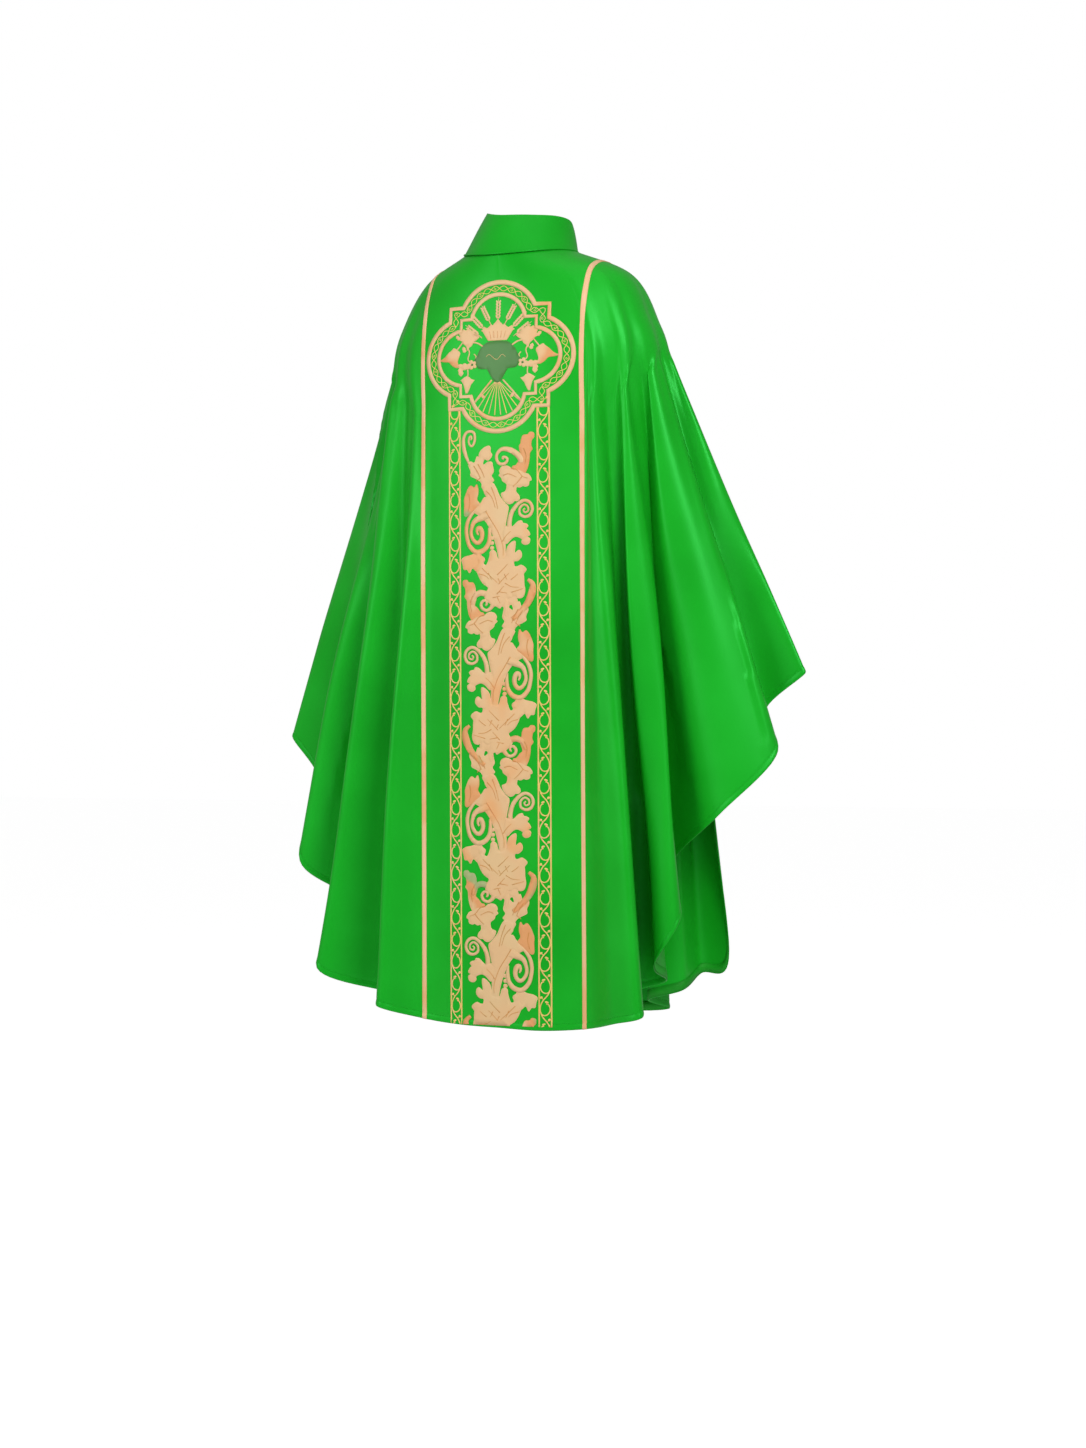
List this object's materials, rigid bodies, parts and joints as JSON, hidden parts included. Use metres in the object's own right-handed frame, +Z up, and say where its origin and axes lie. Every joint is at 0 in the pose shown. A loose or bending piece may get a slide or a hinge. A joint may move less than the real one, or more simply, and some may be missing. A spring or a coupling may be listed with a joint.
{
  "type": "chasuble",
  "caption": "Sleeveless green satin outer vestment hanging as a full bell from a standing collar, with embroidered medallions, centre columns and narrow bands.",
  "frame": {"origin": "middle of the neck seam, at the height of its back, where the garment rests on the wearer's shoulders", "axes": "+Z up; +Y towards the back, so the wearer faces -Y; +X towards the wearer's left"},
  "size_m": [0.8302, 0.2902, 1.1654],
  "materials": {
    "satin": "smooth satin with a soft sheen",
    "lining": "plain woven lining",
    "embroidery": "satin-stitch thread",
    "galloon": "narrow woven band",
    "interlining": "stiff plain canvas"
  },
  "bodies": {
    "root": {"back_panel_left": "satin", "back_panel_right": "satin", "front_panel_left": "satin", "front_panel_right": "satin", "back_hem_strip_left": "lining", "back_hem_strip_right": "lining", "front_hem_strip_left": "lining", "front_hem_strip_right": "lining", "neck_facing_left": "lining", "neck_facing_right": "lining", "shoulder_seam_tape_left": "lining", "shoulder_seam_tape_right": "lining", "centre_back_seam_tape": "lining", "centre_front_seam_tape": "lining", "back_medallion": "embroidery", "back_orphrey_field": "embroidery", "back_orphrey_border_left": "embroidery", "back_orphrey_border_right": "embroidery", "front_medallion": "embroidery", "front_orphrey_field": "embroidery", "front_orphrey_border_left": "embroidery", "front_orphrey_border_right": "embroidery", "galloon_left": "galloon", "galloon_right": "galloon", "collar_lining": "lining", "collar_interlining": "interlining", "collar_outer": "satin", "collar_piping": "satin", "hanger_loop": "lining"}
  },
  "joints": []
}
